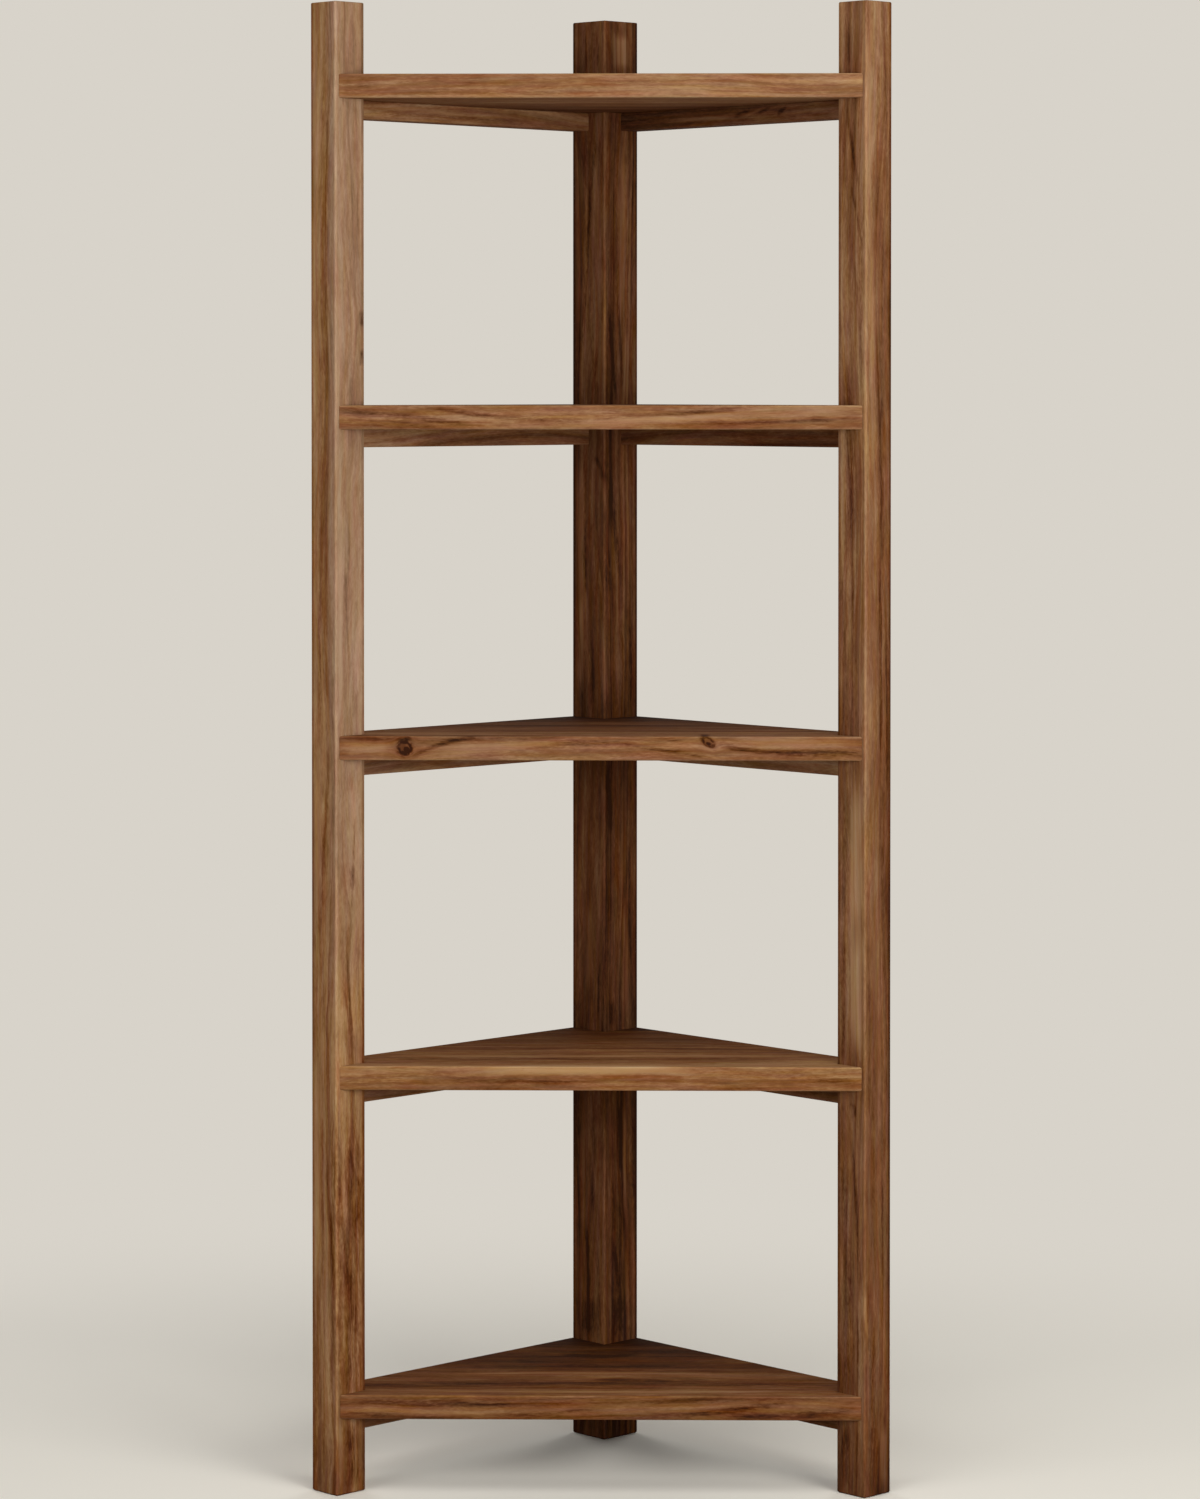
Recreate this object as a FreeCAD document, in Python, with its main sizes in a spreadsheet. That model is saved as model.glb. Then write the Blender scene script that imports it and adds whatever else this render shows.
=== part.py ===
import FreeCAD, Part
import Sketcher
import os

# A corner plant stand: three square posts carry a column of triangular shelf boards.
#
# Under each board a rail runs along each wall, from the back post to a front post. A tenon
# at each end of a rail sits in a mortise in the post. The boards are notched round the
# posts, lie on the rails and are screwed down from below.
#
# The room's corner is at the back, on +Y, and the long edges of the boards face the room,
# towards -Y. The origin is on the floor, in the middle of the stand's bounding box.
# Each piece is drawn square to the walls, in its own frame, and its placement turns it by
# the plan angle of the wall that it stands along. Tiers are counted from the floor up.
# Lengths are in millimetres.

SIZES = {
    # The stand as a whole.
    "stand_height": 1550.0,
    "wall_length": 427.0,  # from the room's corner to the outer face of a front post
    "tier_count": 5,  # a count
    "floor_gap": 80.0,  # from the floor to the underside of the lowest board
    "top_reveal": 75.0,  # from the top of the highest board to the tops of the posts
    # The posts.
    "front_post_width": 40.0,
    "back_post_width": 51.0,
    "post_round": 2.5,  # radius along the four upright arrises
    "post_top_round": 1.5,  # radius round the top
    "foot_chamfer": 1.5,
    # The shelf boards.
    "shelf_thickness": 25.0,
    "shelf_front_round": 2.0,  # radius along the front's two edges
    "shelf_wall_chamfer": 1.0,  # along the edges at the walls
    "front_setback": 3.0,  # from the front posts' foremost corners back to a board's front
    "notch_gap": 0.3,  # between a board and the posts that it is notched round
    # The rails under the boards.
    "rail_width": 26.0,
    "rail_height": 19.0,
    "rail_chamfer": 1.0,  # along the four long edges
    # The tenons at the ends of the rails, and the mortises that they fill.
    "tenon_length": 20.0,
    "tenon_width": 13.0,
    "tenon_height": 13.0,
    "tenon_chamfer": 1.5,  # round the tenon's end
    "tenon_gap": 0.15,  # between each side of a tenon and its mortise
    "mortise_room": 1.0,  # between a tenon's end and the bottom of its mortise
    # The countersunk screws, one driven up through the middle of each rail into the board.
    "screw_length": 35.0,
    "screw_diameter": 4.0,
    "screw_head_diameter": 7.6,
    "screw_head_angle": 90.0,  # degrees
    "screw_tip": 5.0,  # length of the tapered point
    "screw_sink": 0.4,  # from the rail's underside up to the head
    "screw_seat_gap": 0.1,  # between the head and its countersink, along the axis
    "screw_play": 0.5,  # between the shank and its hole in the rail, on the diameter
    "pilot_play": 0.1,  # between the shank and its hole in the board, on the diameter
    "pilot_room": 1.0,  # between the screw's point and the bottom of its hole
}

# Plan angles, in degrees. The two walls meet square, so both slant alike to the front.
FRONT_ANGLE = 270
SLANT_ANGLE = 45
WALL_ANGLES = {"left": FRONT_ANGLE - SLANT_ANGLE, "right": FRONT_ANGLE + SLANT_ANGLE}

# Sizes that follow from the driving ones.
SLANT = f"cos({SLANT_ANGLE} deg)"
RAIL_LENGTH = "(sizes.wall_length - sizes.front_post_width - sizes.back_post_width)"
RAIL_MIDDLE = f"(sizes.back_post_width + {RAIL_LENGTH} / 2)"  # along its wall
IN_RAIL = "(sizes.rail_width / 2)"  # out from its wall
TIER_RISE = "(sizes.stand_height - sizes.top_reveal - sizes.shelf_thickness - sizes.floor_gap)"
FRONT_POINT = "(sizes.wall_length + sizes.front_post_width)"
CORNER_Y = f"({FRONT_POINT} * {SLANT} / 2)"
FRONT_LINE = f"({FRONT_POINT} - sizes.front_setback / {SLANT})"
MORTISE_DEPTH = "(sizes.tenon_length + sizes.mortise_room)"
HEAD_SLOPE = "tan(sizes.screw_head_angle / 2 * 1 deg)"
HEAD_DEPTH = f"((sizes.screw_head_diameter - sizes.screw_diameter) / 2 / {HEAD_SLOPE})"
SINK_GROWTH = f"(2 * (sizes.screw_sink + sizes.screw_seat_gap) * {HEAD_SLOPE})"
PILOT_DEPTH = "(sizes.screw_sink + sizes.screw_length + sizes.pilot_room - sizes.rail_height)"

UP = FreeCAD.Vector(0, 0, 1)
NEAR = 1e-6  # how close two places are when they count as one

doc = FreeCAD.newDocument("corner_plant_stand")
sheet = doc.addObject("Spreadsheet::Sheet", "sizes")
for row, (alias, number) in enumerate(SIZES.items(), start=1):
    sheet.set(f"A{row}", alias)
    sheet.set(f"B{row}", str(number))
    sheet.setAlias(f"B{row}", alias)
doc.recompute()


def value(expression):
    """The number that an expression gives now."""
    result = sheet.evalExpression(expression)
    return float(getattr(result, "Value", result))


TIERS = int(value("sizes.tier_count"))
TIER_PITCH = f"({TIER_RISE} / {TIERS - 1})"
sub_parts = []


def new_body(label):
    """An empty body for one sub-part, whose label names its node."""
    body = doc.addObject("PartDesign::Body", label)
    body.Label = label
    sub_parts.append(body)
    return body


def origin_of(body, role):
    """One of the body's own origin planes or axes."""
    return next(item for item in body.Origin.OriginFeatures if item.Role == role)


def seat(body, wall, along, across, height):
    """Puts a piece's own origin at distances along its wall, out from it and up."""
    body.Placement = FreeCAD.Placement(FreeCAD.Vector(), FreeCAD.Rotation(UP, WALL_ANGLES[wall]))
    out, back = (along, across) if wall == "right" else (across, along)
    body.setExpression("Placement.Base.x", f"({out} - {back}) * {SLANT}")
    body.setExpression("Placement.Base.y", f"{CORNER_Y} - ({along} + {across}) * {SLANT}")
    body.setExpression("Placement.Base.z", height)


def rail_underside(tier):
    """The height of the undersides of a tier's rails."""
    return f"(sizes.floor_gap - sizes.rail_height + {tier} * {TIER_PITCH})"


def new_sketch(body, name, plane, lift="0", shift="0"):
    """A sketch on an origin plane, lifted along its normal and shifted along its X axis."""
    sketch = body.newObject("Sketcher::SketchObject", f"{body.Name}_{name}")
    sketch.AttachmentSupport = [(origin_of(body, plane), "")]
    sketch.MapMode = "FlatFace"
    sketch.setExpression("AttachmentOffset.Base.x", shift)
    sketch.setExpression("AttachmentOffset.Base.z", lift)
    return sketch


def pin(sketch, element, point, x, y):
    """Holds one point of a sketch at a place that two expressions give."""
    for kind, place in (("DistanceX", x), ("DistanceY", y)):
        rule = Sketcher.Constraint(kind, -1, 1, element, point, value(place))
        sketch.setExpression(f"Constraints[{sketch.addConstraint(rule)}]", place)


def draw_outline(sketch, corners):
    """A closed outline of straight lines through corners, each a pair of expressions."""
    places = [FreeCAD.Vector(value(x), value(y), 0) for x, y in corners]
    count = len(places)
    for number in range(count):
        following = (number + 1) % count
        sketch.addGeometry(Part.LineSegment(places[number], places[following]))
    for number in range(count):
        following = (number + 1) % count
        sketch.addConstraint(Sketcher.Constraint("Coincident", number, 2, following, 1))
    for number, (x, y) in enumerate(corners):
        pin(sketch, number, 1, x, y)


def draw_rectangle(sketch, length, width, x="0", y="0"):
    """A rectangle round a centre, the sketch's origin unless another is given."""
    left, right = (f"{x} {sign} {length} / 2" for sign in "-+")
    bottom, top = (f"{y} {sign} {width} / 2" for sign in "-+")
    draw_outline(sketch, [(left, bottom), (right, bottom), (right, top), (left, top)])


def draw_circles(sketch, diameter, centres):
    """Circles of one diameter round centres that are pairs of expressions."""
    for x, y in centres:
        centre = FreeCAD.Vector(value(x), value(y), 0)
        number = sketch.addGeometry(Part.Circle(centre, UP, value(diameter) / 2))
        rule = Sketcher.Constraint("Diameter", number, value(diameter))
        sketch.setExpression(f"Constraints[{sketch.addConstraint(rule)}]", diameter)
        pin(sketch, number, 3, x, y)


def add_feature(body, kind, name, sizes, **settings):
    """A feature at the body's tip, with plain settings and sizes that are expressions."""
    feature = body.newObject(f"PartDesign::{kind}", f"{body.Name}_{name}")
    for setting, choice in settings.items():
        setattr(feature, setting, choice)
    for size, expression in sizes.items():
        feature.setExpression(size, expression)
    body.Tip = feature
    doc.recompute()
    return feature


def add_pocket(body, name, sketch, depth, inward):
    """A blind pocket, checked to cut its whole depth. Inward follows the sketch's normal."""
    before = body.Shape.Volume
    pocket = add_feature(
        body, "Pocket", name, {"Length": depth}, Profile=sketch, Reversed=inward
    )
    expected = sum(Part.Face(wire).Area for wire in sketch.Shape.Wires) * value(depth)
    if abs(before - body.Shape.Volume - expected) > expected / 100:
        raise RuntimeError(f"{pocket.Name} doesn't cut its whole depth")
    return pocket


def dress(body, kind, name, size, chosen):
    """A fillet or a chamfer on the edges at the body's tip that a test picks."""
    base = body.Tip
    edges = [f"Edge{n}" for n, edge in enumerate(base.Shape.Edges, 1) if chosen(edge)]
    what = "Radius" if kind == "Fillet" else "Size"
    return add_feature(body, kind, name, {what: f"sizes.{size}"}, Base=(base, edges))


def is_level_at(edge, height):
    """Whether an edge is level and at this height."""
    return abs(edge.BoundBox.ZMin - height) < NEAR and abs(edge.BoundBox.ZMax - height) < NEAR


def make_post_blank(body, width):
    """A square post with round arrises, a chamfered foot and a round top."""
    sketch = new_sketch(body, "section", "XY_Plane")
    draw_rectangle(sketch, width, width)
    add_feature(body, "Pad", "blank", {"Length": "sizes.stand_height"}, Profile=sketch)
    top = value("sizes.stand_height")
    dress(body, "Fillet", "arrises", "post_round", lambda edge: edge.BoundBox.ZLength > NEAR)
    dress(body, "Chamfer", "foot", "foot_chamfer", lambda edge: is_level_at(edge, 0))
    dress(body, "Fillet", "top", "post_top_round", lambda edge: is_level_at(edge, top))


def cut_mortises(body, name, plane, lift, middle, inward):
    """A column of mortises for the rails' tenons in one face of a post, one at each tier."""
    sketch = new_sketch(body, f"{name}_mouth", plane, lift)
    gaps = "2 * sizes.tenon_gap"
    height = "sizes.floor_gap - sizes.rail_height / 2"
    width = f"(sizes.tenon_width + {gaps})"
    draw_rectangle(sketch, width, f"(sizes.tenon_height + {gaps})", middle, height)
    mortise = add_pocket(body, f"{name}_mortise", sketch, MORTISE_DEPTH, inward)
    whole = mortise.BaseFeature.Shape.Volume
    removed = whole - mortise.Shape.Volume
    column = add_feature(
        body,
        "LinearPattern",
        f"{name}_tiers",
        {"Length": TIER_RISE},
        Originals=[mortise],
        Direction=(origin_of(body, "Z_Axis"), [""]),
        Occurrences=TIERS,
    )
    if abs(whole - column.Shape.Volume - TIERS * removed) > removed / 100:
        raise RuntimeError(f"{column.Name} doesn't cut a mortise at each tier")


def make_front_post(side):
    """A front post, mortised in the face that looks along its wall to the corner."""
    body = new_body(f"front_{side}_post")
    width = "sizes.front_post_width"
    seat(body, side, f"(sizes.wall_length - {width} / 2)", f"{width} / 2", "0")
    make_post_blank(body, width)
    to_wall = f"({width} - sizes.rail_width) / 2"
    middle = to_wall if side == "right" else f"-{to_wall}"
    cut_mortises(body, "rail", "YZ_Plane", f"-{width} / 2", middle, True)


def make_back_post():
    """The back post, in the room's corner, mortised in the two faces that meet the rails."""
    body = new_body("back_post")
    width = "sizes.back_post_width"
    seat(body, "left", f"{width} / 2", f"{width} / 2", "0")
    make_post_blank(body, width)
    middle = f"-({width} - sizes.rail_width) / 2"
    cut_mortises(body, "left", "YZ_Plane", f"{width} / 2", middle, False)
    cut_mortises(body, "right", "XZ_Plane", f"-{width} / 2", middle, True)


def make_shelf(tier):
    """A board, notched round the three posts, with a pilot hole over each rail's screw."""
    body = new_body(f"shelf_{tier + 1}")
    seat(body, "left", "0", "0", f"sizes.floor_gap + {tier} * {TIER_PITCH}")
    back = "(sizes.back_post_width + sizes.notch_gap)"
    front = "(sizes.wall_length - sizes.front_post_width - sizes.notch_gap)"
    inner = "(sizes.front_post_width + sizes.notch_gap)"
    tip = f"({FRONT_LINE} - {inner})"
    half = [(back, "0"), (front, "0"), (front, inner), (tip, inner)]
    other_half = [(y, x) for x, y in reversed(half)]
    sketch = new_sketch(body, "outline", "XY_Plane")
    draw_outline(sketch, half + other_half + [(back, back)])
    add_feature(body, "Pad", "board", {"Length": "sizes.shelf_thickness"}, Profile=sketch)
    front_line = value(FRONT_LINE)

    def is_front(edge):
        """Whether an edge runs along the board's front."""
        return all(abs(end.X + end.Y - front_line) < NEAR for end in edge.Vertexes) and (
            edge.BoundBox.ZLength < NEAR
        )

    def is_at_wall(edge):
        """Whether an edge runs along a wall."""
        box = edge.BoundBox
        return box.ZLength < NEAR and (abs(box.XMax) < NEAR or abs(box.YMax) < NEAR)

    dress(body, "Fillet", "front", "shelf_front_round", is_front)
    dress(body, "Chamfer", "walls", "shelf_wall_chamfer", is_at_wall)
    pilots = new_sketch(body, "pilots", "XY_Plane")
    screws = [(RAIL_MIDDLE, IN_RAIL), (IN_RAIL, RAIL_MIDDLE)]
    draw_circles(pilots, "(sizes.screw_diameter + sizes.pilot_play)", screws)
    add_pocket(body, "pilot_holes", pilots, PILOT_DEPTH, True)


def make_rail(side, tier):
    """A rail under a board, with a tenon at each end and a countersunk hole for its screw."""
    body = new_body(f"{side}_rail_{tier + 1}")
    seat(body, side, RAIL_MIDDLE, IN_RAIL, rail_underside(tier))
    section = new_sketch(body, "section", "XY_Plane")
    draw_rectangle(section, RAIL_LENGTH, "sizes.rail_width")
    add_feature(body, "Pad", "blank", {"Length": "sizes.rail_height"}, Profile=section)
    length = value(RAIL_LENGTH)
    dress(body, "Chamfer", "edges", "rail_chamfer", lambda e: abs(e.Length - length) < NEAR)
    root = new_sketch(body, "tenon_root", "YZ_Plane", f"{RAIL_LENGTH} / 2")
    middle = "sizes.rail_height / 2"
    draw_rectangle(root, "sizes.tenon_width", "sizes.tenon_height", y=middle)
    tenon = add_feature(body, "Pad", "tenon", {"Length": "sizes.tenon_length"}, Profile=root)
    add_feature(
        body,
        "Mirrored",
        "other_tenon",
        {},
        Originals=[tenon],
        MirrorPlane=(origin_of(body, "YZ_Plane"), [""]),
    )
    reach = length / 2 + value("sizes.tenon_length")

    def is_at_end(edge):
        """Whether an edge goes round the end of a tenon."""
        return all(abs(abs(end.X) - reach) < NEAR for end in edge.Vertexes)

    dress(body, "Chamfer", "tenon_ends", "tenon_chamfer", is_at_end)
    spot = new_sketch(body, "spot", "XY_Plane")
    draw_circles(spot, "(sizes.screw_diameter + sizes.screw_play)", [("0", "0")])
    before = body.Shape.Volume
    hole = add_feature(
        body,
        "Hole",
        "screw_hole",
        {
            "Diameter": "sizes.screw_diameter + sizes.screw_play",
            "HoleCutDiameter": f"sizes.screw_head_diameter + {SINK_GROWTH}",
            "HoleCutCountersinkAngle": "sizes.screw_head_angle",
        },
        Profile=spot,
        Reversed=True,
        ThreadType="None",
        DepthType="ThroughAll",
        HoleCutType="Countersink",
        HoleCutCustomValues=True,
    )
    shaft = Part.Face(spot.Shape.Wires[0]).Area * value("sizes.rail_height")
    if before - body.Shape.Volume <= shaft:
        raise RuntimeError(f"{hole.Name} doesn't go through the rail")


def make_screws(tier):
    """The two countersunk screws that hold a board down on its rails."""
    body = new_body(f"shelf_{tier + 1}_screws")
    body.setExpression("Placement.Base.y", CORNER_Y)
    body.setExpression("Placement.Base.z", rail_underside(tier))
    forward = f"({RAIL_MIDDLE} + {IN_RAIL}) * {SLANT}"
    sideways = f"({RAIL_MIDDLE} - {IN_RAIL}) * {SLANT}"
    head, shank = "sizes.screw_head_diameter / 2", "sizes.screw_diameter / 2"
    low = "sizes.screw_sink"
    top = f"{low} + sizes.screw_length"
    profile = new_sketch(body, "profile", "XZ_Plane", forward, sideways)
    draw_outline(
        profile,
        [
            ("0", low),
            (head, low),
            (shank, f"{low} + {HEAD_DEPTH}"),
            (shank, f"{top} - sizes.screw_tip"),
            ("0", top),
        ],
    )
    axis = (profile, ["V_Axis"])
    add_feature(body, "Revolution", "screw", {}, Profile=profile, ReferenceAxis=axis)
    add_feature(
        body,
        "Mirrored",
        "other_screw",
        {},
        TransformMode="Whole shape",
        MirrorPlane=(origin_of(body, "YZ_Plane"), [""]),
    )


for side in WALL_ANGLES:
    make_front_post(side)
make_back_post()
for tier in range(TIERS):
    make_shelf(tier)
    for side in WALL_ANGLES:
        make_rail(side, tier)
    make_screws(tier)

doc.recompute()
for item in doc.Objects:
    if {"Invalid", "Error"} & set(item.State):
        raise RuntimeError(f"{item.Name} failed: {item.State}")
for body in sub_parts:
    if body.Shape.isNull() or not body.Shape.isValid():
        raise RuntimeError(f"{body.Label} has no valid shape")

os.makedirs("parts", exist_ok=True)
for body in sub_parts:
    body.Shape.exportStep(f"parts/{body.Label}.step")
    solids = body.Shape.Solids
    volume = sum(solid.Volume for solid in solids) / 1000
    print(f"{body.Label}: {len(solids)} solid(s), {volume:.1f} cm3")
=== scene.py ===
"""Corner plant stand in oiled brown hardwood: its finish, its light and the photograph's camera."""

import math
from dataclasses import dataclass
from typing import NamedTuple

import bpy
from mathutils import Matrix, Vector
from mathutils.bvhtree import BVHTree


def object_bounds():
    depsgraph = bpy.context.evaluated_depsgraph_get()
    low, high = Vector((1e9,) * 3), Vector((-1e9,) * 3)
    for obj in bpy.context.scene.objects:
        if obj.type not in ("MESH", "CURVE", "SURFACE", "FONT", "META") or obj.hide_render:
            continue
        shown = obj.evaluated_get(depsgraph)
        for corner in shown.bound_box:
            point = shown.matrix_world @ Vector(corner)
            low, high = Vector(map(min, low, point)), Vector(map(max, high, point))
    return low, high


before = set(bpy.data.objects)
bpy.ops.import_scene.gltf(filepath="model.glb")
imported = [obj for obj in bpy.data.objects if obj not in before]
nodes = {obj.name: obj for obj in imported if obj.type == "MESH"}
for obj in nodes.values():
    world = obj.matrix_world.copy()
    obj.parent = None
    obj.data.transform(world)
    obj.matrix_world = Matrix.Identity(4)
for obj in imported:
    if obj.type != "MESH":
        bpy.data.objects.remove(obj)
cad_low, cad_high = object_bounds()

# The photograph's frame and its camera. Lengths are metres and angles radians.
PICTURE_WIDTH = 1200
PICTURE_HEIGHT = 1499
MIDDLE_COLUMN = PICTURE_WIDTH / 2
FOCAL_PIXELS = 4550
HORIZON_ROW = 386.3
AXIS_ROW = 473.5  # the row that the camera points at. The lens's shift does the rest.
SENSOR_WIDTH = 36  # millimetres, as Blender gives lenses
VIEW_DISTANCE = 200  # how far the camera sees
CAMERA_HEIGHT = 1.1522
CAMERA_GAP = 4.725  # from the camera to the plane through the middles of the front posts
CAMERA_ASIDE = 0.0812
CAMERA_TURN = 0.01739

# Directions of the stand. Each side leads from the back post to a front post.
SLANT = math.radians(45)
ACROSS = Vector((1, 0, 0))
BACKWARD = Vector((0, 1, 0))
UPWARD = Vector((0, 0, 1))
LEFT_SIDE = Vector((-math.cos(SLANT), -math.sin(SLANT), 0))
RIGHT_SIDE = Vector((math.cos(SLANT), -math.sin(SLANT), 0))

MM = 0.001


def colour(red, green, blue):
    """A colour written as it shows on a screen, 0 to 255, as the linear one that shaders take."""
    shares = [level / 255 for level in (red, green, blue)]
    linear = [s / 12.92 if s <= 0.04045 else ((s + 0.055) / 1.055) ** 2.4 for s in shares]
    return (*linear, 1.0)


def reach(node, axis):
    """How far a node lies along an axis: its lowest and highest place."""
    places = [vertex.co.dot(axis) for vertex in nodes[node].data.vertices]
    return min(places), max(places)


# Camera

post_middle = sum(reach("front_left_post", BACKWARD)) / 2
camera_place = Vector((CAMERA_ASIDE, post_middle - CAMERA_GAP * math.cos(CAMERA_TURN), CAMERA_HEIGHT))
lens = bpy.data.cameras.new("camera")
lens.sensor_fit = "HORIZONTAL"
lens.sensor_width = SENSOR_WIDTH
lens.lens = SENSOR_WIDTH * FOCAL_PIXELS / PICTURE_WIDTH
lens.shift_y = (AXIS_ROW - PICTURE_HEIGHT / 2) / PICTURE_WIDTH
lens.clip_end = VIEW_DISTANCE
camera = bpy.data.objects.new("camera", lens)
camera.location = camera_place
camera_tilt = math.atan2(AXIS_ROW - HORIZON_ROW, FOCAL_PIXELS)
camera.rotation_euler = (math.radians(90) - camera_tilt, 0, CAMERA_TURN)
bpy.context.collection.objects.link(camera)
bpy.context.scene.camera = camera


# A search tree for each node, to find what a pixel of the photograph looks at
depsgraph = bpy.context.evaluated_depsgraph_get()
trees = {name: BVHTree.FromObject(piece, depsgraph) for name, piece in nodes.items()}


def seen_at(column, row, node):
    """The place and the face of a node that one pixel of the photograph looks at."""
    view = Vector((column - MIDDLE_COLUMN, AXIS_ROW - row, -FOCAL_PIXELS))
    view.rotate(camera.rotation_euler)
    place, normal, _, _ = trees[node].ray_cast(camera_place, view)
    if place is None:
        raise ValueError(f"no part of {node} shows at column {column}, row {row}")
    return place, normal


NOISE_GAIN = 4.0  # stretches the noise node's range to about -1 to 1


class Shader:
    """Adds nodes to one tree. Most methods give back the new node's output."""

    def __init__(self, tree):
        self.tree = tree
        self.tree.nodes.clear()

    def add(self, kind, **settings):
        """A new node, itself."""
        node = self.tree.nodes.new(kind)
        for name, setting in settings.items():
            setattr(node, name, setting)
        return node

    def feed(self, socket, source):
        """Gives a socket another node's output, or a constant."""
        if isinstance(source, bpy.types.NodeSocket):
            self.tree.links.new(source, socket)
        else:
            socket.default_value = source

    def math(self, operation, *sources):
        node = self.add("ShaderNodeMath", operation=operation)
        for socket, source in zip(node.inputs, sources):
            self.feed(socket, source)
        return node.outputs[0]

    def total(self, *sources):
        result = sources[0]
        for source in sources[1:]:
            result = self.math("ADD", result, source)
        return result

    def times(self, *sources):
        result = sources[0]
        for source in sources[1:]:
            result = self.math("MULTIPLY", result, source)
        return result

    def weighed(self, start, *pairs):
        """Adds to a start each source times its weight."""
        result = start
        for source, weight in pairs:
            result = self.math("MULTIPLY_ADD", source, weight, result)
        return result

    def length(self, first, second):
        return self.math("SQRT", self.math("MULTIPLY_ADD", first, first, self.times(second, second)))

    def steps(self, source, low, high):
        """A smooth step: 0 where the source is low and 1 where it is high."""
        node = self.add("ShaderNodeMapRange", interpolation_type="SMOOTHSTEP")
        for socket, part in zip(node.inputs, (source, low, high)):
            self.feed(socket, part)
        return node.outputs[0]

    def vector(self, x, y, z):
        node = self.add("ShaderNodeCombineXYZ")
        for socket, source in zip(node.inputs, (x, y, z)):
            self.feed(socket, source)
        return node.outputs[0]

    def parts(self, source):
        """A vector's three parts."""
        node = self.add("ShaderNodeSeparateXYZ")
        self.feed(node.inputs[0], source)
        return node.outputs

    def dot(self, source, axis):
        node = self.add("ShaderNodeVectorMath", operation="DOT_PRODUCT")
        self.feed(node.inputs[0], source)
        node.inputs[1].default_value = axis
        return node.outputs["Value"]

    def noise(self, place, detail=2.0, roughness=0.5):
        """Noise whose mean is zero and whose range is about -1 to 1."""
        node = self.add("ShaderNodeTexNoise", noise_dimensions="3D")
        self.feed(node.inputs["Vector"], place)
        node.inputs["Scale"].default_value = 1
        node.inputs["Detail"].default_value = detail
        node.inputs["Roughness"].default_value = roughness
        return self.math("MULTIPLY_ADD", node.outputs[0], NOISE_GAIN, -NOISE_GAIN / 2)

    def chance(self, source):
        """A random number from 0 to 1 for each number."""
        node = self.add("ShaderNodeTexWhiteNoise", noise_dimensions="1D")
        self.feed(node.inputs["W"], source)
        return node.outputs["Value"]

    def ramp(self, source, stops):
        node = self.add("ShaderNodeValToRGB")
        self.feed(node.inputs[0], source)
        while len(node.color_ramp.elements) < len(stops):
            node.color_ramp.elements.new(0.5)  # and moved below
        for element, (place, shade) in zip(node.color_ramp.elements, stops):
            element.position = place
            element.color = shade
        return node.outputs[0]

    def blend(self, share, first, second):
        """The first colour where the share is 0, and the second where it is 1."""
        node = self.add("ShaderNodeMix", data_type="RGBA")
        colours = [socket for socket in node.inputs if socket.type == "RGBA"]
        self.feed(node.inputs[0], share)
        self.feed(colours[0], first)
        self.feed(colours[1], second)
        return next(socket for socket in node.outputs if socket.type == "RGBA")

    def looked_at(self):
        """1 for rays that show the background: camera, glossy and transmission rays."""
        path = self.add("ShaderNodeLightPath").outputs
        reflected = self.math("MAXIMUM", path["Is Glossy Ray"], path["Is Transmission Ray"])
        return self.math("MAXIMUM", path["Is Camera Ray"], reflected)

    def mix(self, share, first, second):
        """The first shader where the share is 0, and the second where it is 1."""
        node = self.add("ShaderNodeMixShader")
        for socket, source in zip(node.inputs, (share, first, second)):
            self.feed(socket, source)
        return node.outputs[0]

    def finish(self, shader, kind="ShaderNodeOutputMaterial"):
        """Leads a shader to the tree's output."""
        self.feed(self.add(kind).inputs["Surface"], shader)


def new_material(name):
    """A material with an empty node tree, and what adds nodes to it."""
    material = bpy.data.materials.new(name)
    material.use_nodes = True
    return material, Shader(material.node_tree)


# Shades of the oiled hardwood, from palest to darkest, and of a pinkish painted sheen

SHADES = [
    (0.0, colour(194, 164, 129)),
    (0.25, colour(164, 127, 91)),
    (0.5, colour(128, 87, 57)),
    (0.75, colour(92, 54, 29)),
    (1.0, colour(50, 26, 13)),
]
SHEEN_SHADES = [
    (0.0, colour(198, 170, 143)),
    (0.5, colour(147, 115, 90)),
    (1.0, colour(72, 47, 31)),
]


class Noise(NamedTuple):
    """A pattern's size along and across the grain, its number, and how fine it gets."""

    along: float
    across: float
    seed: float
    detail: float = 1.0
    roughness: float = 0.5


# How far apart the pieces lie in one pattern, along each of their axes
SEED_STEPS = (50.0, 1.7, 2.3)

# Waves that carry the grain off its straight line. A piece's own wave says how far the first two do.
SWING = Noise(0.40, 0.10, 0.0)
SWAY = Noise(0.50, 0.12, 5.3)
BEND = Noise(0.12, 28 * MM, 3.1)
BEND_REACH = 2.2 * MM
RIPPLE = Noise(0.03, 10 * MM, 8.3)
RIPPLE_REACH = 0.45 * MM

# Growth rings. A year's wood darkens slowly and ends at once. Here 1 is a ring's width.
UNEVEN = Noise(1.25, 3, 3.3)  # along the grain in metres, and across it in ring widths
UNEVEN_REACH = 1.1
YEAR_DARKENS = (0.25, 0.9)
YEAR_ENDS = (1.0, 0.92)
RING_SEED_STEP = 13.0
RING_POWER = 2.2  # The higher it is, the fewer rings are dark.

# Patterns that follow the growth rings
BAND = Noise(0.9, 11 * MM, 5.1)
STREAK = Noise(0.28, 3.6 * MM, 6.7, 2.0, 0.55)

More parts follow.
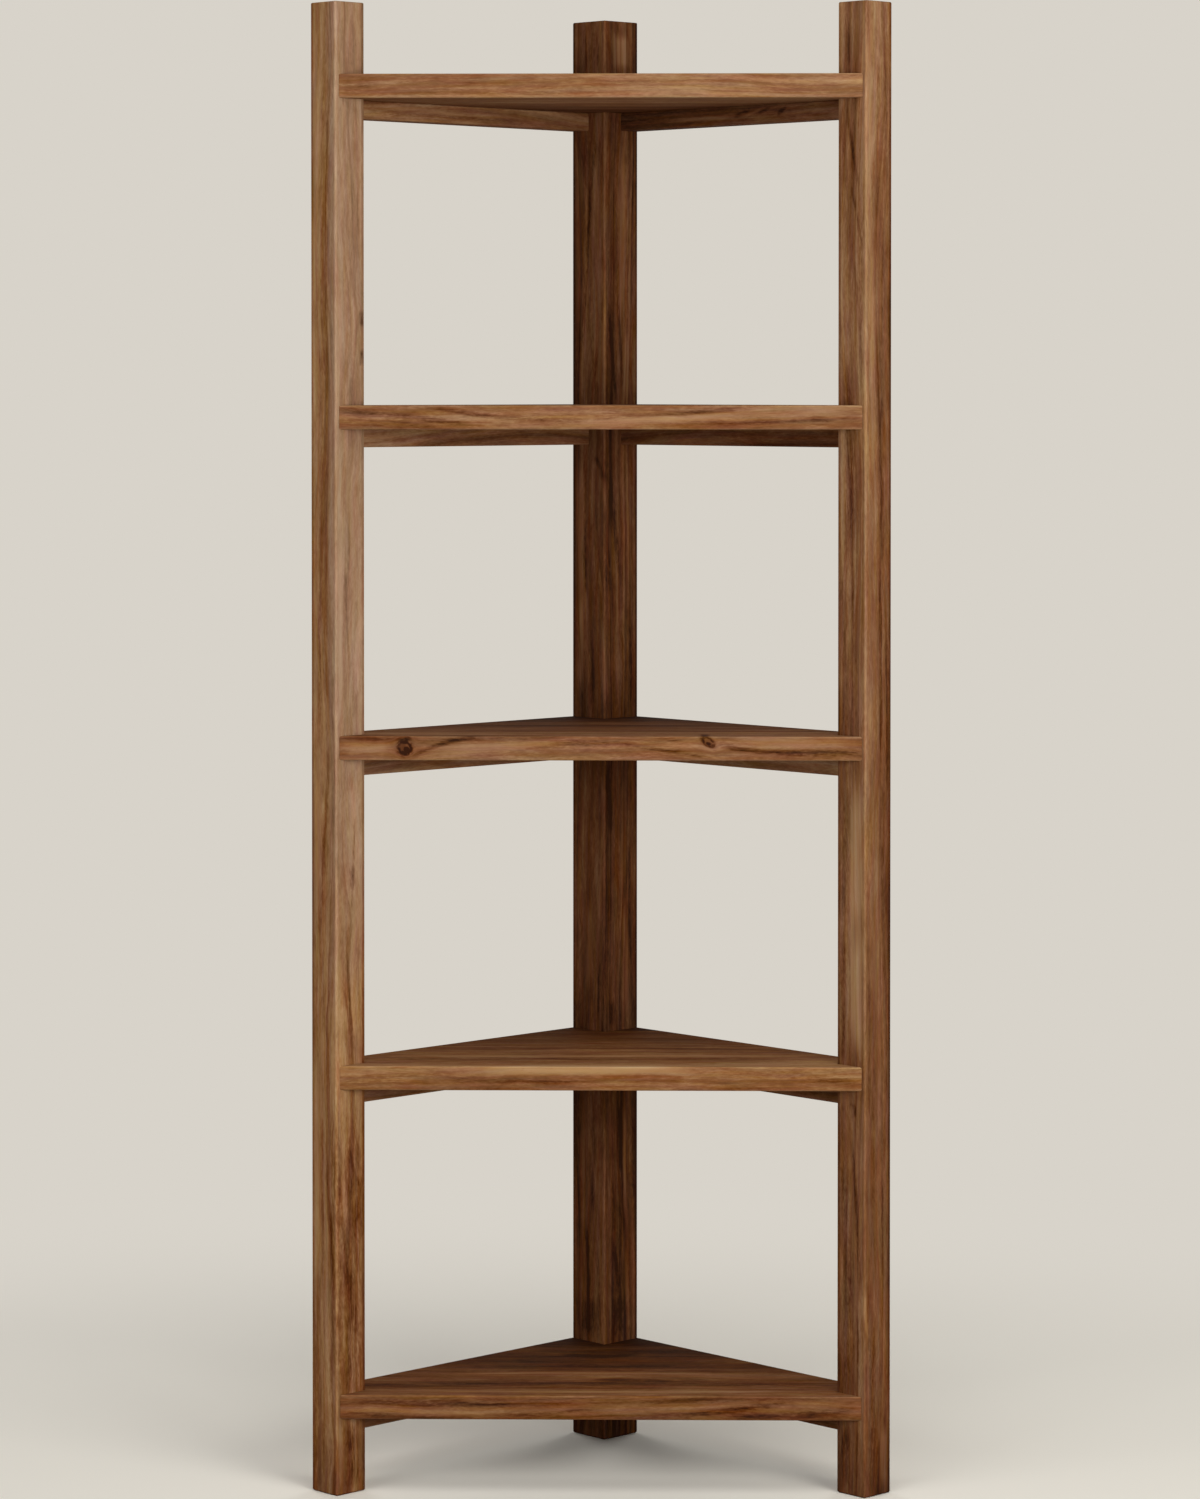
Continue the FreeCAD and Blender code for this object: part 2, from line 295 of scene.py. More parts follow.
# Patterns along the grain
HAIR = Noise(0.10, 1.5 * MM, 1.0, 3.0, 0.6)
MOTTLE = Noise(28 * MM, 5 * MM, 11.0, 2.0)
FLECK = Noise(7 * MM, 1.3 * MM, 10.0, 2.0, 0.6)
FIBRE = Noise(14 * MM, 0.35 * MM, 2.0, 2.0, 0.6)
PORE = Noise(7 * MM, 0.4 * MM, 4.0)
PORE_RANGE = (0.7, 1.1)  # A pore is where this noise is high.
PATCH = Noise(0.20, 35 * MM, 6.0, 2.0)
WARMTH = Noise(60 * MM, 6 * MM, 12.0, 2.0)
DEPTH = Noise(90 * MM, 4 * MM, 14.0, 2.0)

# How much each pattern darkens the wood. A piece's contrast multiplies the first three.
CONTRAST_DARKENS = {"band": 0.17, "streak": 0.09, "ring": 0.18}
DARKENS = {
    "hair": 0.04, "mottle": 0.08, "fleck": 0.08, "fibre": 0.02,
    "pore": 0.10, "patch": 0.09, "knot": 0.24, "knot_core": 0.55,
}
STAVES_DARKEN = {"stave": 0.14, "seam": 0.10}
# The paler strip at the arrises is partly wear and partly a painted highlight.
SURFACE_DARKENS = {"cut_end": 0.16, "worn_highlight": -0.10}
FOOT_SHADE_WEIGHT = 0.20
JOINT_SHADE_WEIGHT = 0.12
SIDE_ARRIS_SHADE_WEIGHT = 0.18

# How rough the wood is, and how much each pattern adds to it
ROUGHNESS = 0.82
ROUGHENS = {"hair": 0.03, "fleck": 0.03, "pore": 0.08, "cut_end": 0.1, "worn_highlight": -0.08}
SPECULAR = 0.04

# How much each pattern raises the surface, in bump heights
RAISES = {"ring": 0.25, "hair": 0.12, "fleck": 0.2, "fibre": 0.15, "pore": -0.6, "seam": -0.5}
BUMP_HEIGHT = 0.15 * MM
BUMP_STRENGTH = 0.5

# How far the wood's hue and saturation wander
HUE_SHIFT = 0.011
SAME_HUE = 0.5  # leaves the hue as it is
SATURATION_SHIFT = 0.09

# Glued boards. Each stave's pattern is moved along and across the grain by its own draws.
STAVE_SEED_STEP = 7.0
SLIDE_DRAW = 0.37
SLIDE_REACH = 3.0
SHIFT_DRAW = 0.71
SHIFT_REACH = 30 * MM
SEAM_WIDTH = 0.7 * MM

# Knots, and the noise that frays them. Their edges and parts are in knot radii.
KNOT_DEPTH = 40 * MM
RAGGED = Noise(5 * MM, 4 * MM, 9.0)
KNOT_EDGE = (1.6, 0.7)
RAGGED_EDGE = 0.16
RIM_PLACE = 0.85
RIM_WIDTH = 0.35
RIM_SHADE = 0.7
RAGGED_RIM = 0.5
HEART_ASIDE = (0.22, -0.28)  # The heart sits off the middle.
HEART_EDGE = (0.62, 0.15)
RAGGED_HEART = 0.12

# Drawn grain lines. Their soft sides are in half widths, and their ends in half lengths.
LINE_DEPTH = 12 * MM  # how far below its face a line reaches
LINE_SIDES = (1.45, 0.15)
LINE_ENDS = (1.2, 0.5)
LINE_RIPPLE = 0.35  # the share of the grain's small waves that the lines follow
LINE_SHADE = 0.85
LINE_VARIES = {"streak": 0.45, "mottle": 0.25, "fleck": 0.3}

# Feet, joints and arrises
FOOT_SHADE_HEIGHT = 100 * MM  # over which painted shade darkens a foot towards the floor
JOINT_SHADE_HEIGHT = 62 * MM  # over which painted shade on a post fades out above the board below
JOINT_SHADE_SIDE = (0.9, -0.1)  # from a post's side without the painted shade to its side with it, in half widths
BOARD_TOPS = [reach(f"shelf_{tier}", UPWARD)[1] for tier in (1, 2)]
CUT_END = (0.55, 0.9)  # how far a cut end faces along the grain
ARRIS = (2.6 * MM, 0.6 * MM)  # the paler strip on each side of an arris: wear, and a painted highlight
WORN_HIGHLIGHT_SHARE = 0.6
WORN_HIGHLIGHT_PATCHES = 0.3
SIDE_ARRIS_SHADE = (5.6 * MM, 3.8 * MM)  # the painted shade strip on each side of a post's left and right arrises

# Where the painted sheen starts across the grain, and how far its edges wander
SHEEN_EDGE = (6 * MM, 14 * MM)
SHEEN_EDGE_WANDERS = 3 * MM
SHEEN_END_WANDERS = 60 * MM


class PaintedSheen(NamedTuple):
    """A painted sheen on the high side of one cross direction, and where along the grain it comes in."""

    axis: int
    share: float
    none_at: float
    full_at: float


@dataclass
class Timber:
    """How a piece was sawn and how dark it is. Its cross directions are its second and third axes."""

    seed: float
    tone: float
    pith: tuple  # where the growth rings have their middle, in the two cross directions
    spacing: float = 7 * MM  # from ring to ring
    lean: tuple = (0.0, 0.0, 0.0)  # how much darker the high end of each axis is than the middle; the boards' lean is painted shade
    wave: float = 9 * MM  # how far slow waves carry the grain
    contrast: float = 1.0  # of bands, streaks, rings and drawn lines
    is_post: bool = False  # stands on the floor, and has painted shade at its foot and at its left and right arrises
    joint_shade: float = 0.0  # how much painted shade it has just above each board
    joint_shade_axis: int = 0  # the cross direction whose low side alone has that shade, if any
    stave: float = 0.0  # width of the strips that a board is glued up from
    richness: float = 1.0  # of its colour
    painted_sheen: PaintedSheen | None = None


class Knot(NamedTuple):
    """A knot at a pixel of the photograph. Its radii lie along and across the grain before it leans."""

    column: float
    row: float
    long_radius: float
    wide_radius: float
    lean: float  # in degrees
    strength: float


def cross_axes(normal, axes):
    """The numbers of a piece's two cross axes. A face looks along the first of them."""
    return (1, 2) if abs(normal.dot(axes[1])) > abs(normal.dot(axes[2])) else (2, 1)


def parabola_through(runs, heights):
    """The bow, tilt and base of the parabola through three points."""
    first, second, third = runs
    bow = heights[0] / ((first - second) * (first - third))
    bow += heights[1] / ((second - first) * (second - third))
    bow += heights[2] / ((third - first) * (third - second))
    tilt = (heights[2] - heights[0]) / (third - first) - bow * (first + third)
    base = heights[0] - tilt * first - bow * first * first
    return bow, tilt, base


LINE_INPUTS = (
    "Before", "Along", "Aside", "Into",
    "Centre", "Half", "Bow", "Tilt", "Base", "Face", "Width", "Strength",
)


def make_line_group():
    """The node group that adds one grain line: a parabola along the grain with soft sides and ends."""
    tree = bpy.data.node_groups.new("grain_line", "ShaderNodeTree")
    for name in LINE_INPUTS:
        tree.interface.new_socket(name, in_out="INPUT", socket_type="NodeSocketFloat")
    tree.interface.new_socket("Darkness", in_out="OUTPUT", socket_type="NodeSocketFloat")
    s = Shader(tree)
    given = s.add("NodeGroupInput").outputs
    run = s.math("DIVIDE", s.math("SUBTRACT", given["Along"], given["Centre"]), given["Half"])
    slope = s.math("MULTIPLY_ADD", run, given["Bow"], given["Tilt"])
    curve = s.math("MULTIPLY_ADD", run, slope, given["Base"])
    gap = s.math("ABSOLUTE", s.math("SUBTRACT", given["Aside"], curve))
    body = s.steps(s.math("DIVIDE", gap, given["Width"]), *LINE_SIDES)
    ends = s.steps(s.math("ABSOLUTE", run), *LINE_ENDS)
    into = s.math("ABSOLUTE", s.math("SUBTRACT", given["Into"], given["Face"]))
    deep = s.steps(into, LINE_DEPTH, LINE_DEPTH / 2)
    drawn = s.total(given["Before"], s.times(body, ends, deep, given["Strength"]))
    s.feed(s.add("NodeGroupOutput").inputs[0], drawn)
    return tree


line_group = make_line_group()


class Wood:
    """Solid timber for one node, in the piece's own axes: along the grain, then two across it.

    The methods keep in patterns what darkens, roughens or raises the wood.
    """

    def __init__(self, node, axes, timber):
        self.node = node
        self.axes = axes
        self.timber = timber
        ends = [reach(node, axis) for axis in axes]
        self.middle = [(low + high) / 2 for low, high in ends]
        self.half = [(high - low) / 2 for low, high in ends]
        self.material, self.s = new_material(node + "_wood")
        place = self.s.add("ShaderNodeTexCoord").outputs["Object"]
        self.box = [
            self.s.math("SUBTRACT", self.s.dot(place, axis), centre)
            for axis, centre in zip(axes, self.middle)
        ]
        self.patterns = {}

    def spot(self, place, index):
        """A place's distance from the piece's middle along one of its axes."""
        return place.dot(self.axes[index]) - self.middle[index]

    def pattern(self, local, noise):
        """Noise along and across the grain, in the piece's own part of the pattern."""
        s = self.s
        seed = noise.seed + self.timber.seed
        sizes = (noise.along, noise.across, noise.across)
        place = [
            s.math("MULTIPLY_ADD", part, 1 / size, seed * step)
            for part, size, step in zip(local, sizes, SEED_STEPS)
        ]
        return s.noise(s.vector(*place), noise.detail, noise.roughness)

    def along_rings(self, radius, local, noise):
        """Noise that follows the growth rings."""
        s = self.s
        outward = s.times(radius, 1 / noise.across)
        place = s.vector(outward, s.times(local[0], 1 / noise.along), noise.seed * self.timber.seed)
        return s.noise(place, noise.detail, noise.roughness)

    def add_by_weight(self, start, weights, factor=1.0):
        """Adds to a start each named pattern times its weight."""
        pairs = [(self.patterns[name], weight * factor) for name, weight in weights.items()]
        return self.s.weighed(start, *pairs)

    def split_into_staves(self):
        """Moves the grain pattern from stave to stave, and gives the pattern's place."""
        s, width = self.s, self.timber.stave
        if not width:
            self.patterns["seam"] = 0.0
            return list(self.box)
        counted = s.math("MULTIPLY_ADD", self.box[1], 1 / width, self.half[1] / width)
        number = s.math("ADD", s.math("FLOOR", counted), self.timber.seed * STAVE_SEED_STEP)
        self.patterns["stave"] = s.math("SUBTRACT", s.chance(number), 0.5)
        slide = s.times(s.chance(s.math("ADD", number, SLIDE_DRAW)), SLIDE_REACH)
        inside = s.math("SUBTRACT", s.math("FRACT", counted), 0.5)
        drawn = s.chance(s.math("ADD", number, SHIFT_DRAW))
        shift = s.math("MULTIPLY_ADD", drawn, 2 * SHIFT_REACH, -SHIFT_REACH)
        self.patterns["seam"] = s.steps(s.math("ABSOLUTE", inside), 0.5 - SEAM_WIDTH / width, 0.5)
        return [
            s.math("ADD", self.box[0], slide),
            s.math("MULTIPLY_ADD", inside, width, shift),
            self.box[2],
        ]

    def flow_round_knots(self, across, upright, knots):
        """Bends the grain round each knot as water round a stone, and shades the knots."""
        s = self.s
        flow = {1: across, 2: upright}
        dark = 0.0
        core = 0.0
        for knot in knots:
            place, normal = seen_at(knot.column, knot.row, self.node)
            turn = math.radians(knot.lean)
            facing, other = cross_axes(normal, self.axes)
            away = s.math("SUBTRACT", self.box[0], self.spot(place, 0))
            beside = s.math("SUBTRACT", self.box[other], self.spot(place, other))
            into = s.math("ABSOLUTE", s.math("SUBTRACT", self.box[facing], self.spot(place, facing)))
            near = s.times(s.steps(into, KNOT_DEPTH, KNOT_DEPTH / 2), knot.strength)
            turned_away = s.math("MULTIPLY_ADD", beside, math.sin(turn), s.times(away, math.cos(turn)))
            turned_beside = s.math(
                "MULTIPLY_ADD", away, -math.sin(turn), s.times(beside, math.cos(turn)),
            )
            reach_out = s.length(
                s.times(turned_away, 1 / knot.long_radius),
                s.times(turned_beside, 1 / knot.wide_radius),
            )
            squared = s.times(reach_out, reach_out)
            pull = s.times(s.math("MINIMUM", s.math("DIVIDE", 1.0, squared), 1.0), near, -1.0)
            flow[other] = s.math("MULTIPLY_ADD", beside, pull, flow[other])

            ragged = self.pattern(self.box, RAGGED)
            wide = s.math("MULTIPLY_ADD", ragged, RAGGED_EDGE, reach_out)
            dark = s.math("MAXIMUM", dark, s.times(s.steps(wide, *KNOT_EDGE), near))
            rim = s.steps(s.math("ABSOLUTE", s.math("SUBTRACT", wide, RIM_PLACE)), RIM_WIDTH, 0.0)
            rim = s.times(rim, s.math("MULTIPLY_ADD", ragged, RAGGED_RIM, RIM_SHADE))
            heart_away = s.length(
                s.math("MULTIPLY_ADD", turned_away, 1 / knot.long_radius, -HEART_ASIDE[0]),
                s.math("MULTIPLY_ADD", turned_beside, 1 / knot.wide_radius, -HEART_ASIDE[1]),
            )
            heart = s.steps(s.math("MULTIPLY_ADD", ragged, RAGGED_HEART, heart_away), *HEART_EDGE)
            core = s.math("MAXIMUM", core, s.times(s.math("MAXIMUM", rim, heart), near))
        self.patterns["knot"] = dark
        self.patterns["knot_core"] = core
        return flow[1], flow[2]

    def grow_rings(self, radius, local):
        """Growth rings, each with its own strength and darkest where the year ends."""
        s, timber = self.s, self.timber
        noise = UNEVEN._replace(across=UNEVEN.across * timber.spacing)
        uneven = self.along_rings(radius, local, noise)
        years = s.math("MULTIPLY_ADD", radius, 1 / timber.spacing, s.times(uneven, UNEVEN_REACH))
        season = s.math("FRACT", years)
        late = s.times(s.steps(season, *YEAR_DARKENS), s.steps(season, *YEAR_ENDS))
        drawn = s.chance(s.math("ADD", s.math("FLOOR", years), timber.seed * RING_SEED_STEP))
        return s.times(late, s.math("POWER", drawn, RING_POWER))

    def painted_shade_above_boards(self):
        """Painted shade on a post: 1 at the top of each board, and 0 a little higher."""
        s, axis = self.s, self.timber.joint_shade_axis
        lowest, second = BOARD_TOPS
        pitch = second - lowest
        counted = s.math("MULTIPLY_ADD", self.box[0], 1 / pitch, (self.middle[0] - lowest) / pitch)
        shade = s.steps(s.math("FRACT", counted), JOINT_SHADE_HEIGHT / pitch, 0.0)
        if axis:
            pale, dark = [place * self.half[axis] for place in JOINT_SHADE_SIDE]
            shade = s.times(shade, s.steps(self.box[axis], pale, dark))
        return shade

    def draw_lines(self, lines, small):
        """Grain lines, and a few broad strokes of painted shade, each through three places that the
        photograph shows.
        """
        rippled = [self.s.math("MULTIPLY_ADD", small, LINE_RIPPLE, part) for part in self.box]
        before = 0.0
        for *pixels, half_width, strength in lines:
            hits = [seen_at(column, row, self.node) for column, row in pixels]
            place, normal = hits[1]
            facing, other = cross_axes(normal, self.axes)
            along = [self.spot(hit, 0) for hit, _ in hits]
            aside = [self.spot(hit, other) for hit, _ in hits]
            centre = (along[0] + along[2]) / 2
            half = abs(along[2] - along[0]) / 2
            bow, tilt, base = parabola_through([(distance - centre) / half for distance in along], aside)
            # In the order of LINE_INPUTS
            values = (
                before, self.box[0], rippled[other], self.box[facing],
                centre, half, bow, tilt, base, self.spot(place, facing), half_width * MM, strength,
            )
            node = self.s.add("ShaderNodeGroup", node_tree=line_group)
            for socket, value in zip(node.inputs, values):
                self.s.feed(socket, value)
            before = node.outputs[0]
        return self.s.times(before, self.add_by_weight(LINE_SHADE, LINE_VARIES))

    def find_ends_and_arrises(self):
        """Keeps where the wood is a cut end or a paler arris, worn and with a painted highlight, and
        gives the distance from an arris.
        """
        s = self.s
        normal = s.add("ShaderNodeNewGeometry").outputs["Normal"]
        along_grain = s.math("ABSOLUTE", s.dot(normal, self.axes[0]))
        self.patterns["cut_end"] = s.steps(along_grain, *CUT_END)
        inset = [
            s.math("SUBTRACT", half, s.math("ABSOLUTE", part))
            for half, part in zip(self.half[1:], self.box[1:])
        ]
        from_arris = s.math("MAXIMUM", *inset)
        share = s.math("MULTIPLY_ADD", self.patterns["patch"], WORN_HIGHLIGHT_PATCHES, WORN_HIGHLIGHT_SHARE)
        self.patterns["worn_highlight"] = s.times(s.steps(from_arris, *ARRIS), share)
        return from_arris

    def add_painted_sheen(self, shade, dark, swing):
        """Turns the shade pinkish where the piece has a painted sheen."""
        s, painted_sheen = self.s, self.timber.painted_sheen
        edge = s.math("MULTIPLY_ADD", swing, SHEEN_EDGE_WANDERS, self.box[painted_sheen.axis])
        inner = s.steps(edge, *SHEEN_EDGE)
        end = s.math("MULTIPLY_ADD", self.patterns["patch"], SHEEN_END_WANDERS, self.box[0])
        above = s.steps(end, painted_sheen.none_at, painted_sheen.full_at)
        return s.blend(s.times(inner, above, painted_sheen.share), shade, s.ramp(dark, SHEEN_SHADES))

    def build(self, lines=(), knots=()):
        """The finished material."""
        s, timber, box = self.s, self.timber, self.box
        local = self.split_into_staves()
        swing = self.pattern(local, SWING)
        sway = self.pattern(local, SWAY)
        bend = self.pattern(local, BEND)
        ripple = self.pattern(local, RIPPLE)
        small = s.weighed(s.times(ripple, RIPPLE_REACH), (bend, BEND_REACH))
        across = s.weighed(s.total(local[1], small), (swing, timber.wave))
        upright = s.weighed(s.total(local[2], small), (sway, timber.wave))
        across, upright = self.flow_round_knots(across, upright, knots)

        radius = s.length(
            s.math("SUBTRACT", across, timber.pith[0]),
            s.math("SUBTRACT", upright, timber.pith[1]),
        )
        flow = [local[0], across, upright]
        self.patterns.update(
            ring=self.grow_rings(radius, local),
            band=self.along_rings(radius, local, BAND),
            streak=self.along_rings(radius, local, STREAK),
            hair=self.pattern(flow, HAIR),
            mottle=self.pattern(flow, MOTTLE),
            fleck=self.pattern(flow, FLECK),
            fibre=self.pattern(flow, FIBRE),
            pore=s.steps(self.pattern(flow, PORE), *PORE_RANGE),
            patch=self.pattern(local, PATCH),
        )

        lean = [share / half for share, half in zip(timber.lean, self.half)]
        dark = s.weighed(timber.tone, *zip(box, lean))
        dark = self.add_by_weight(dark, CONTRAST_DARKENS, timber.contrast)
        dark = self.add_by_weight(dark, DARKENS)
        if timber.is_post:
            # Painted shade, darker towards the floor.
            foot_shade = s.steps(box[0], FOOT_SHADE_HEIGHT - self.half[0], -self.half[0])
            dark = s.weighed(dark, (foot_shade, FOOT_SHADE_WEIGHT))
        if timber.joint_shade:
            # Painted shade just above each board.
            dark = s.weighed(dark, (self.painted_shade_above_boards(), JOINT_SHADE_WEIGHT * timber.joint_shade))
        if timber.stave:
            dark = self.add_by_weight(dark, STAVES_DARKEN)
        if lines:
            dark = s.weighed(dark, (self.draw_lines(lines, small), timber.contrast))
        from_arris = self.find_ends_and_arrises()
        dark = self.add_by_weight(dark, SURFACE_DARKENS)
        if timber.is_post:
            # Painted shade on the arrises at a post's left and right.
            at_sides = s.math("LESS_THAN", s.times(box[1], box[2]), 0.0)
            painted_edge_shade = s.times(s.steps(from_arris, *SIDE_ARRIS_SHADE), at_sides)
            dark = s.weighed(dark, (painted_edge_shade, SIDE_ARRIS_SHADE_WEIGHT))

        shade = s.ramp(dark, SHADES)
        if timber.painted_sheen:
            shade = self.add_painted_sheen(shade, dark, swing)
        warmth = self.pattern(flow, WARMTH)
        depth = self.pattern(flow, DEPTH)
        varied = s.add("ShaderNodeHueSaturation")
        s.feed(varied.inputs["Hue"], s.math("MULTIPLY_ADD", warmth, HUE_SHIFT, SAME_HUE))
        saturation = s.math("MULTIPLY_ADD", depth, SATURATION_SHIFT, timber.richness)
        s.feed(varied.inputs["Saturation"], saturation)
        s.feed(varied.inputs["Color"], shade)
        bump = s.add("ShaderNodeBump")
        bump.inputs["Strength"].default_value = BUMP_STRENGTH
        bump.inputs["Distance"].default_value = BUMP_HEIGHT
        s.feed(bump.inputs["Height"], self.add_by_weight(0.0, RAISES))

        surface = s.add("ShaderNodeBsdfPrincipled")
        s.feed(surface.inputs["Base Color"], varied.outputs[0])
        s.feed(surface.inputs["Roughness"], self.add_by_weight(ROUGHNESS, ROUGHENS))
        s.feed(surface.inputs["Normal"], bump.outputs[0])
        surface.inputs["Specular IOR Level"].default_value = SPECULAR
        s.finish(surface.outputs[0])
        return self.material


# Bright zinc plate, with brush marks and smudges. The scales are in waves to a metre.
BRUSH_SCALES = (900, 4000, 900)
SMUDGE_SCALES = (300, 300, 300)
SMUDGE_RANGE = (-1.0, 1.0)
ZINC = colour(205, 203, 196)
SMUDGED_ZINC = colour(172, 168, 158)
ZINC_ROUGHNESS = 0.32
BRUSH_ROUGHENS = 0.05
SMUDGE_ROUGHENS = 0.06


def make_steel(name):
    """Bright zinc plate, lightly brushed and smudged."""
    material, s = new_material(name)
    place = s.parts(s.add("ShaderNodeTexCoord").outputs["Object"])
    brushed, smudge = [
        s.noise(s.vector(*[s.times(part, scale) for part, scale in zip(place, scales)]))
        for scales in (BRUSH_SCALES, SMUDGE_SCALES)
    ]
    rough = s.weighed(ZINC_ROUGHNESS, (brushed, BRUSH_ROUGHENS), (smudge, SMUDGE_ROUGHENS))
    surface = s.add("ShaderNodeBsdfPrincipled")
    s.feed(surface.inputs["Base Color"], s.blend(s.steps(smudge, *SMUDGE_RANGE), ZINC, SMUDGED_ZINC))
    s.feed(surface.inputs["Roughness"], rough)
    surface.inputs["Metallic"].default_value = 1.0
    s.finish(surface.outputs[0])
    return material


def dress(node, material):
    """Gives one node its material in every slot."""
    for slot in nodes[node].material_slots:
        slot.link = "OBJECT"
        slot.material = material
